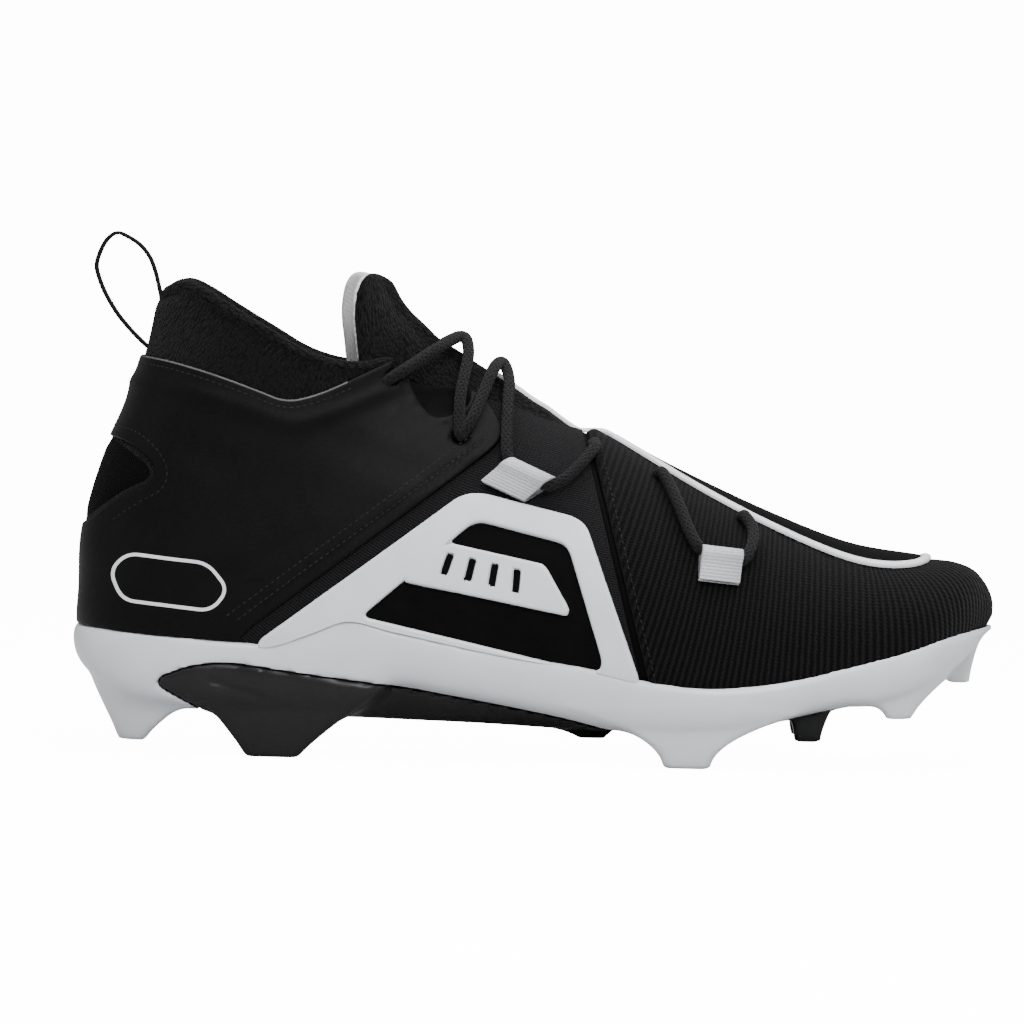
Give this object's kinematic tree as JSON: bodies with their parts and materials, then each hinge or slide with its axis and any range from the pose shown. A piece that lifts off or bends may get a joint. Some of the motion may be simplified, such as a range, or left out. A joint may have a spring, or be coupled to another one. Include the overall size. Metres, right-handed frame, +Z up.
{
  "type": "american football cleat",
  "caption": "Mid-cut lace-up football boot with a knit upper, synthetic quarters, a side brace and a moulded studded sole, for the right foot.",
  "frame": {"origin": "on the ground under the middle of the shoe's bounding box", "axes": "+X from heel to toe, +Y to the inner side of the foot, +Z up"},
  "size_m": [0.3016, 0.1, 0.1691],
  "materials": {
    "black_knit": "matte fine-ribbed knit",
    "black_synthetic": "satin synthetic leather",
    "black_smooth": "smooth film",
    "pale_moulding": "satin moulded, pale grey",
    "dark_moulding": "satin moulded, near black",
    "pale_tape": "woven tape, pale grey",
    "black_cord": "braided",
    "insole_foam": "matte foam cover"
  },
  "bodies": {
    "root": {"upper": "black_knit", "quarter_shell": "black_synthetic", "midfoot_frame": "pale_moulding", "toe_band": "black_smooth", "toe_piping": "pale_tape", "outsole": "pale_moulding", "chassis": "dark_moulding", "forefoot_insert": "dark_moulding", "insole": "insole_foam", "tongue": "black_knit", "lace_upper": "black_cord", "lace_lower_lateral": "black_cord", "lace_lower_medial": "black_cord", "webbing_upper_lateral": "pale_tape", "webbing_upper_medial": "pale_tape", "webbing_lower_lateral": "pale_tape", "webbing_lower_medial": "pale_tape", "pull_loop": "black_cord"}
  },
  "joints": []
}
